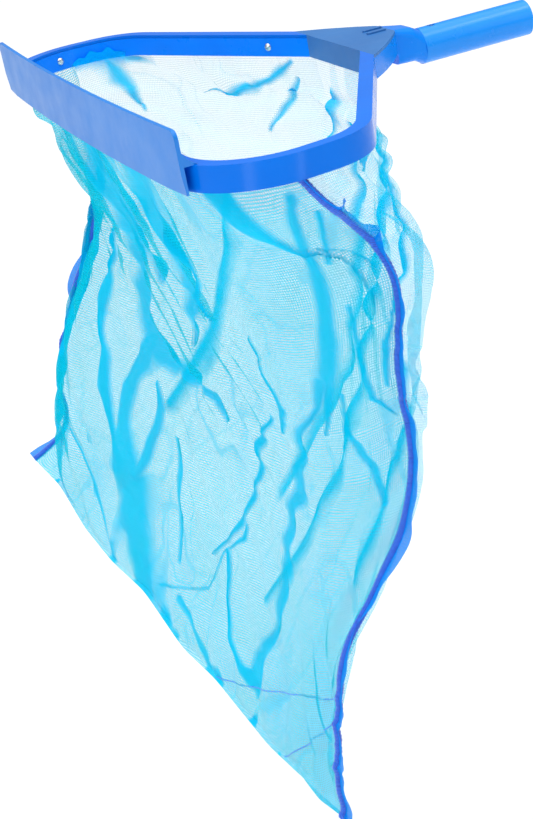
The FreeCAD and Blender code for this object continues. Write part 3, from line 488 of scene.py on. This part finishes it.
def first_shape():
    """The bag before it settles: rows from the rim to the bottom edge, columns from the far seam round the front
    to the near one and back round the yoke."""
    front, back = (resample(run, COLUMNS + 1) for run in rim_runs())
    ring = np.concatenate([front[:-1], back[::-1][:-1]])
    share = np.concatenate([np.linspace(0, 1, COLUMNS + 1)[:-1], np.linspace(1, 0, COLUMNS + 1)[:-1]])
    is_back = np.arange(2 * COLUMNS) > COLUMNS
    fall = np.linspace(0, 1, ROWS)
    top = np.concatenate([ring, np.full((2 * COLUMNS, 1), RIM_Z)], axis=1)
    pucker = np.exp(-((top[:, 0] - PUCKER_X) / PUCKER_REACH) ** 4) * (top[:, 1] > 0.2)
    top[:, 2] += PUCKER_RISE * pucker * (0.8 + 0.2 * np.cos(top[:, 0] * 420))
    top[:, 1] -= PUCKER_IN * np.minimum(1, 1.6 * pucker)
    far, near = np.array(FAR_TIP), np.array(NEAR_TIP)
    sag = eased(BOTTOM_SAG, share)[:, None] * np.array((-0.25, 0.0, -0.97))
    bottom = far + (near - far) * share[:, None] + sag
    shape = top[None] + (bottom - top)[None] * fall[:, None, None]
    near_swing, far_swing, seam_swing = (eased(k, fall)[:, None] for k in (NEAR_SWING, FAR_SWING, FAR_SEAM_SWING))
    at_near = np.clip((share - 0.80) / 0.20, 0, 1)[None] ** 1.5
    at_far = np.clip((0.10 - share) / 0.10, 0, 1)[None] ** 1.5
    middle = 0.055 * np.sin(np.pi * fall)[:, None] * np.ones_like(share)[None]
    side = np.where(share < 0.45, 1 - share / 0.45, 0)[None]
    swing = middle * (1 - side) + far_swing * side
    swing = swing * (1 - at_near) + near_swing * at_near
    swing = swing * (1 - at_far) + seam_swing * at_far
    belly = np.sin(np.pi * fall ** 0.6)[:, None] * np.sin(np.pi * share)[None] ** 0.5
    swing = swing + np.where(is_back[None], 0.004, -0.004) * belly
    shape[..., 0] += swing
    puff = np.exp(-((fall - 0.13) / 0.10) ** 2)[:, None] * np.exp(-((share - 0.74) / 0.18) ** 2)[None]
    shape[..., 0] += np.where(is_back[None], 0.013, 0) * puff
    normal = unit(np.cross(np.gradient(shape, axis=0), np.roll(shape, -1, 1) - np.roll(shape, 1, 1)))
    for folds, mine in ((SWELLS, ~is_back), (BACK_SWELLS, is_back)):
        for start, end, width, height, first, last in folds:
            centre = start + (end - start) * fall + 0.012 * np.sin(9 * fall + start * 40)
            across = (share[None] - centre[:, None]) * MIDDLE_WIDTH / (width * MM)
            along = np.clip((fall - first) / 0.12, 0, 1) * np.clip((last - fall) / 0.25, 0, 1)
            lift = 0.45 * height * MM * np.exp(-across ** 2 / 2) * along[:, None] * mine[None]
            shape += normal * lift[..., None]
    return shape, share


def unit(v):
    return v / (np.linalg.norm(v, axis=-1, keepdims=True) + 1e-12)


def cut_lengths(shape):
    """Rest lengths across and down from the shape's own spacing, and the widths and drops of the panels."""
    fall = np.linspace(0, 1, ROWS)
    width = np.where(fall < 0.5, TOP_WIDTH + (MIDDLE_WIDTH - TOP_WIDTH) * fall * 2,
                     MIDDLE_WIDTH + (BOTTOM_WIDTH - MIDDLE_WIDTH) * (fall * 2 - 1))
    gaps = np.linalg.norm(np.roll(shape, -1, axis=1) - shape, axis=2)
    across = np.concatenate([np.repeat(part.mean(axis=1, keepdims=True) * FULLNESS, COLUMNS, axis=1)
                             for part in (gaps[:, :COLUMNS], gaps[:, COLUMNS:])], axis=1)
    drop = np.linalg.norm(np.diff(shape, axis=0), axis=2).sum(axis=0)
    drop = (drop + np.roll(drop, 1) + np.roll(drop, -1)) / 3
    down = np.repeat((drop * DROP_FULLNESS / (ROWS - 1))[None], ROWS - 1, axis=0)
    return across, down, width, drop * DROP_FULLNESS


def blurred(field, rows, columns):
    """Box blur of a field on the bag's grid: round the bag without an end, and held at the rim and bottom."""
    for _ in range(2):
        total = np.cumsum(np.concatenate([field[:, -columns - 1:], field, field[:, :columns]], axis=1), axis=1)
        field = (total[:, 2 * columns + 1:] - total[:, :-2 * columns - 1]) / (2 * columns + 1)
        padded = np.concatenate([np.repeat(field[:1], rows + 1, 0), field, np.repeat(field[-1:], rows, 0)], axis=0)
        total = np.cumsum(padded, axis=0)
        field = (total[2 * rows + 1:] - total[:-2 * rows - 1]) / (2 * rows + 1)
    return field


def pull(points, a, b, rest, stiffness):
    """Moves the ends of many links towards their rest length. a and b index the points."""
    gap = points[b] - points[a]
    length = np.sqrt((gap * gap).sum(-1, keepdims=True)) + 1e-9
    move = gap * (stiffness * 0.5 * (1 - rest[..., None] / length))
    points[a] += move
    points[b] -= move


def settle(shape, steps):
    """Lets the bag hang as a grid of links under gravity. The rim and the bottom edge are held, and the broad
    shape and the seams are drawn back to where they began."""
    across, down, _, _ = cut_lengths(shape)
    rows, columns = shape.shape[:2]
    goal = shape.copy()
    points = shape.copy()
    noise = RNG.normal(size=shape.shape)
    noise = blurred(noise, 7, 5) * 0.016
    fade = np.sin(np.pi * np.linspace(0, 1, rows))[:, None, None] ** 0.5
    points += noise * fade
    before = points.copy()
    slant = np.sqrt(across[:-1] ** 2 + down ** 2)
    hold = np.zeros((rows, columns, 1))
    hold[:, 0] = hold[:, COLUMNS] = SEAM_HOLD
    even_row, odd_row = slice(0, rows - 1, 2), slice(1, rows - 1, 2)
    for _ in range(steps):
        velocity = (points - before) * KEPT_SPEED
        before = points.copy()
        points = points + velocity + GRAVITY * TICK * TICK
        drift = blurred(goal - points, 4, 4)
        points += drift * SHAPE_HOLD
        points += (goal - points) * hold
        for _ in range(8):
            points[0], points[-1] = goal[0], goal[-1]
            for first in (0, 1):
                index = np.arange(first, columns, 2)
                other = (index + 1) % columns
                pull(points, (slice(None), index), (slice(None), other), across[:, index], 0.9)
            for part in (even_row, odd_row):
                low = slice(part.start + 1, part.stop + 1, 2)
                pull(points, (part,), (low,), down[part], 0.9)
                for way in (1, -1):
                    index = np.arange(columns)
                    other = (index + way) % columns
                    upper = np.arange(rows)[part][:, None]
                    pull(points, (upper, index), (upper + 1, other), slant[part], 0.25)
        smooth = (np.roll(points, 1, 1) + np.roll(points, -1, 1)) / 2 - points
        points += smooth * 0.3
        smooth = np.zeros_like(points)
        smooth[1:-1] = (points[2:] + points[:-2]) / 2 - points[1:-1]
        points += smooth * 0.25
    points[0], points[-1] = goal[0], goal[-1]
    return points


def finer(grid, times):
    """The same surface with each of its squares divided times by times, along smooth curves."""
    for axis in (0, 1):
        grid = np.moveaxis(grid, axis, 0)
        count = len(grid)
        spots = np.arange((count - 1) * times + 1) / times
        here = np.minimum(spots.astype(int), count - 2)
        t = (spots - here).reshape((-1,) + (1,) * (grid.ndim - 1))
        before, after = grid[np.maximum(here - 1, 0)], grid[np.minimum(here + 2, count - 1)]
        a, b = grid[here], grid[here + 1]
        cubic = 3 * (a - b) + after - before
        square = 2 * before - 5 * a + 4 * b - after
        grid = a + 0.5 * t * (b - before + t * (square + t * cubic))
        grid = np.moveaxis(grid, 0, axis)
    return grid


def smooth_noise(rows, columns, down, across):
    """Soft random hills, about one unit high, of a chosen length down and across the grid."""
    field = RNG.normal(size=(rows, columns, 1))
    field = blurred(field, down, across)[..., 0]
    return (field - field.mean()) / field.std()


def step_between(value, low, high):
    t = np.clip((value - low) / (high - low), 0, 1)
    return t * t * (3 - 2 * t)


def pleat_cover(share, fall, path, ragged, edge):
    """How far each point lies inside one pleat: 1 in it, 0 outside, and its distance in half-widths."""
    knots = np.array(path, float)
    along = np.linspace(0, len(knots) - 1, 30 * len(knots))
    line = np.stack([np.interp(along, np.arange(len(knots)), knots[:, k]) for k in range(3)], axis=1)
    line[1:-1] = (line[:-2] + 2 * line[1:-1] + line[2:]) / 4
    nearest = np.full(share.shape, 99.0)
    rows, columns = share.shape
    for across, down, half in line:
        reach = 4 * half
        r0, r1 = (int(np.clip((down + way * reach) * rows, 0, rows)) for way in (-1, 1))
        c0, c1 = (int(np.clip((across + way * reach) * columns, 0, columns)) for way in (-1, 1))
        part = (slice(r0, r1 + 1), slice(c0, c1 + 1))
        gap = np.hypot(share[part] - across, (fall[part] - down) * PANEL_DROP / MIDDLE_WIDTH)
        nearest[part] = np.minimum(nearest[part], gap / half)
    nearest = nearest * (1 + 0.25 * ragged)
    return step_between(-nearest, -1 - edge, -1 + edge), nearest


def folded(points, pleats, gather, crumple, edge):
    """A settled panel made finer, with its pleats and crumples raised, and how closed the mesh is at each point,
    which the material also shows as a deeper colour, partly for the doubled cloth and partly as painted fold and
    crease shade.
    """
    points = finer(points, FINER)
    rows, columns = points.shape[:2]
    fall, share = np.meshgrid(np.linspace(0, 1, rows), np.linspace(0, 1, columns), indexing="ij")
    normal = unit(np.cross(np.gradient(points, axis=0), np.gradient(points, axis=1)))
    free = step_between(fall, 0.0, 0.05) * step_between(1 - fall, 0.0, 0.12)
    free = free * step_between(np.minimum(share, 1 - share), 0.0, 0.015)
    ragged = smooth_noise(rows, columns, 9, 4)
    closeness_and_fold_shade = np.zeros((rows, columns))
    lift = np.zeros((rows, columns))
    for index, path in enumerate(pleats):
        cover, distance = pleat_cover(share, fall, path, ragged, edge)
        closeness_and_fold_shade = np.maximum(closeness_and_fold_shade, cover * (0.92 + 0.03 * (index % 3)))
        rise = min(0.0055, max(knot[2] for knot in path) * MIDDLE_WIDTH * 0.35 + 0.0012)
        lift = lift + rise * np.exp(-distance ** 2) * (1 if index % 3 else -1)
    # A crumpled sheet creases along the lines where soft hills change sign. Along a crease the mesh is shut and its
    # colour deepened: partly denser cloth, partly painted crease shade.
    for down, across, height, strength in ((22, 13, 0.0034, 0.45), (9, 6, 0.0014, 0.34)):
        hills = smooth_noise(rows, columns, down, across)
        where = step_between(smooth_noise(rows, columns, 24, 20), -0.7, 1.0)
        crease_and_shade = np.exp(-(hills / 0.13) ** 2)
        closeness_and_fold_shade = closeness_and_fold_shade + crumple * strength * crease_and_shade * where * (1 - closeness_and_fold_shade)
        lift = lift + height * (np.abs(hills) - 0.8) * (0.35 + 0.65 * where)
    stripes = step_between(smooth_noise(rows, columns, 26, 3), -0.1, 0.35)
    middle, spread, reach, strength = gather
    where = np.exp(-((share - middle) / spread) ** 2 - (fall / reach) ** 2)
    closeness_and_fold_shade = closeness_and_fold_shade + strength * stripes * where * (1 - closeness_and_fold_shade)
    patches = 0.5 + 0.16 * smooth_noise(rows, columns, 18, 14)
    near = step_between(share, 0.70, 0.95)
    low = step_between(fall, 0.55, 0.95)
    level = 0.20 * np.clip(patches, 0, 1) + 0.20 * near + 0.14 * low
    closeness_and_fold_shade = closeness_and_fold_shade + crumple * level * (1 - closeness_and_fold_shade)
    points = points + normal * (lift * free)[..., None]
    return points, np.clip(closeness_and_fold_shade, 0, 0.99)


def panel_object(name, points, closeness_and_fold_shade, width, drop, material):
    """One panel of the bag as a mesh, with UVs in metres of cut cloth."""
    rows, columns = points.shape[:2]
    data = bpy.data.meshes.new(name)
    index = np.arange(rows * columns).reshape(rows, columns)
    quads = np.stack([index[:-1, :-1], index[1:, :-1], index[1:, 1:], index[:-1, 1:]], axis=-1).reshape(-1, 4)
    data.from_pydata(points.reshape(-1, 3).tolist(), [], quads.tolist())
    share = np.linspace(-0.5, 0.5, columns)
    drop = np.interp(share, np.linspace(-0.5, 0.5, len(drop)), drop)
    u = share[None] * width[:, None]
    v = np.linspace(0, 1, rows)[:, None] * drop[None]
    cut = np.stack([u, v], axis=-1).reshape(-1, 2)
    layer = data.uv_layers.new(name="cut")
    loops = np.zeros(len(data.loops), np.int32)
    data.loops.foreach_get("vertex_index", loops)
    layer.data.foreach_set("uv", cut[loops].astype(np.float32).ravel())
    shut = data.attributes.new("closeness_and_fold_shade", "FLOAT", "POINT")
    shut.data.foreach_set("value", closeness_and_fold_shade.astype(np.float32).ravel())
    data.polygons.foreach_set("use_smooth", np.ones(len(data.polygons), bool))
    data.materials.append(material)
    thing = bpy.data.objects.new(name, data)
    bpy.context.scene.collection.objects.link(thing)
    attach(thing, "skimmer")
    return thing


def ribbon(name, line, outward, start, end, material, flutter):
    """A band of cloth along a line of points, from start to end metres out from it."""
    across = np.linspace(start, end, 5)
    count = len(line)
    travelled = np.concatenate([[0], np.cumsum(np.linalg.norm(np.diff(line, axis=0), axis=1))])
    normal = unit(np.cross(unit(np.gradient(line, axis=0)), outward))
    wave = np.sin(travelled * 2 * math.pi / 0.047) + 0.6 * np.sin(travelled * 2 * math.pi / 0.029 + 1)
    grid = np.zeros((count, 5, 3))
    for k, reach in enumerate(across):
        lift = flutter * (k / 4) * wave[:, None]
        grid[:, k] = line + outward * reach + normal * lift
    return strip_object(name, grid, travelled, across, material)


def strip_object(name, grid, travelled, across, material):
    """A grid of points as a mesh, with UVs in metres across and along it."""
    data = bpy.data.meshes.new(name)
    rows, columns = grid.shape[:2]
    index = np.arange(rows * columns).reshape(rows, columns)
    quads = np.stack([index[:-1, :-1], index[1:, :-1], index[1:, 1:], index[:-1, 1:]], axis=-1).reshape(-1, 4)
    data.from_pydata(grid.reshape(-1, 3).tolist(), [], quads.tolist())
    cut = np.stack(np.broadcast_arrays(np.array(across)[None], travelled[:, None]), axis=-1).reshape(-1, 2)
    layer = data.uv_layers.new(name="cut")
    loops = np.zeros(len(data.loops), np.int32)
    data.loops.foreach_get("vertex_index", loops)
    layer.data.foreach_set("uv", cut[loops].astype(np.float32).ravel())
    data.polygons.foreach_set("use_smooth", np.ones(len(data.polygons), bool))
    data.materials.append(material)
    thing = bpy.data.objects.new(name, data)
    bpy.context.scene.collection.objects.link(thing)
    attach(thing, "skimmer")
    return thing


def thread_tube(name, line, radius, material, sides=8, twist=0.0035):
    """A round ridge along a line, with a bead at each stitch or strand."""
    travelled = np.concatenate([[0], np.cumsum(np.linalg.norm(np.diff(line, axis=0), axis=1))])
    fine = resample(line, int(travelled[-1] / 0.0009))
    steps = np.arange(len(fine)) * 0.0009
    along = unit(np.gradient(fine, axis=0))
    side = unit(np.cross(along, np.array((0.9, 0.3, 0.2))))
    over = np.cross(along, side)
    swell = radius * (0.82 + 0.18 * np.abs(np.sin(steps * math.pi / twist)))
    turn = np.linspace(0, 2 * math.pi, sides + 1)
    grid = fine[:, None] + swell[:, None, None] * (np.cos(turn)[None, :, None] * side[:, None]
                                                   + np.sin(turn)[None, :, None] * over[:, None])
    return strip_object(name, grid, steps, turn * radius, material)


def build_bag():
    shape, share = first_shape()
    points = settle(shape, STEPS)
    _, _, width, drop = cut_lengths(shape)
    ring = np.concatenate([points, points[:, :1]], axis=1)
    drops = np.concatenate([drop, drop[:1]])
    front_points, front_closeness_and_fold_shade = folded(ring[:, :COLUMNS + 1], PLEATS, FRONT_GATHER, 1.0, 0.45)
    back_points, back_closeness_and_fold_shade = folded(ring[:, COLUMNS:][:, ::-1], BACK_PLEATS, BACK_GATHER, 0.35, 0.8)
    rows_across = np.interp(np.linspace(0, 1, len(front_points)), np.linspace(0, 1, ROWS), width)
    front = panel_object("net_front_sheet", front_points, front_closeness_and_fold_shade, rows_across, drops[:COLUMNS + 1],
                         FRONT_NET)
    back = panel_object("net_back_sheet", back_points, back_closeness_and_fold_shade, rows_across, drops[COLUMNS:][::-1],
                        BACK_NET)
    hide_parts("net_front_panel")
    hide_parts("net_back_panel")
    for label, column, inward, first in (("near", COLUMNS, 1, NEAR_START), ("far", 0, -1, FAR_START)):
        line = points[first:, column]
        into_front = points[first:, (column - inward * 3) % (2 * COLUMNS)] - line
        into_back = points[first:, (column + inward * 3) % (2 * COLUMNS)] - line
        out = unit(-(unit(into_front) + unit(into_back)))
        out = unit(blurred_line(out, 4))
        fine_line = resample(line, 260)
        fine_out = unit(resample_like(out, 260))
        thread = thread_tube(label + "_overlock", fine_line + fine_out * 0.001, 0.0030, THREAD_BLUE)
        allowance = ribbon(label + "_allowance", fine_line, fine_out, 0.002, 0.0125, ALLOWANCE_NET,
                           0.0008)
        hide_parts(label + "_seam_thread")
        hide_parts(label + "_seam_allowance")
    return points


def blurred_line(values, reach):
    padded = np.concatenate([np.repeat(values[:1], reach, 0), values, np.repeat(values[-1:], reach, 0)])
    total = np.cumsum(np.concatenate([np.zeros((1,) + values.shape[1:]), padded]), axis=0)
    return (total[2 * reach + 1:] - total[:-2 * reach - 1]) / (2 * reach + 1)


def resample_like(values, count):
    spots = np.linspace(0, len(values) - 1, count)
    return np.stack([np.interp(spots, np.arange(len(values)), values[:, k]) for k in range(3)], axis=1)


def build_hem():
    front, back = rim_runs(0.0035)
    loop = resample(np.concatenate([front, back[::-1][1:]]), 520)
    heights = np.linspace(0.0024, 0.0165, 5)
    travelled = np.concatenate([[0], np.cumsum(np.linalg.norm(np.diff(loop, axis=0), axis=1))])
    grid = np.stack([np.concatenate([loop, np.full((len(loop), 1), z)], axis=1) for z in heights], axis=1)
    hem = strip_object("rim_hem_tape", grid, travelled, heights, HEM_CYAN)
    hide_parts("rim_hem")
    front, back = rim_runs(0.006)
    loop = resample(np.concatenate([front, back[::-1][1:]]), 520)
    line = np.concatenate([loop, np.full((len(loop), 1), 0.0148)], axis=1)
    cord = thread_tube("rim_draw_cord", line, 0.0012, CORD_WHITE, 8, 0.006)
    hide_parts("rim_cord")


def surface_at(points, share, fall):
    """A point of the settled front panel, between the grid's own points."""
    row, column = fall * (ROWS - 1), share * COLUMNS
    r, c = min(int(row), ROWS - 2), min(int(column), COLUMNS - 1)
    a, b = row - r, column - c
    upper = points[r, c] * (1 - b) + points[r, c + 1] * b
    lower = points[r + 1, c] * (1 - b) + points[r + 1, c + 1] * b
    return upper * (1 - a) + lower * a


def build_stitches(points):
    """Stitch lines across the bag's bottom corners and the longer one from its near seam to its bottom edge."""
    lines = (("near_corner_row", "near_corner_stitch", (0.995, 0.82), (0.835, 0.995)),
             ("far_corner_row", "far_corner_stitch", (0.01, 0.88), (0.13, 0.995)),
             ("bottom_row", "bottom_stitch", (0.995, 0.785), (0.635, 0.995)))
    for name, node, start, end in lines:
        steps = np.linspace(0, 1, 60)
        spots = [surface_at(points, start[0] + (end[0] - start[0]) * k, start[1] + (end[1] - start[1]) * k)
                 for k in steps]
        line = blurred_line(np.array(spots), 1) + np.array((-0.0004, -0.0004, 0))
        row = thread_tube(name, line, 0.0005, STITCH_BLUE, 6, 0.0025)
        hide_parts(node)


add_camera()
add_studio()
dress_frame()
bag = build_bag()
build_hem()
build_stitches(bag)
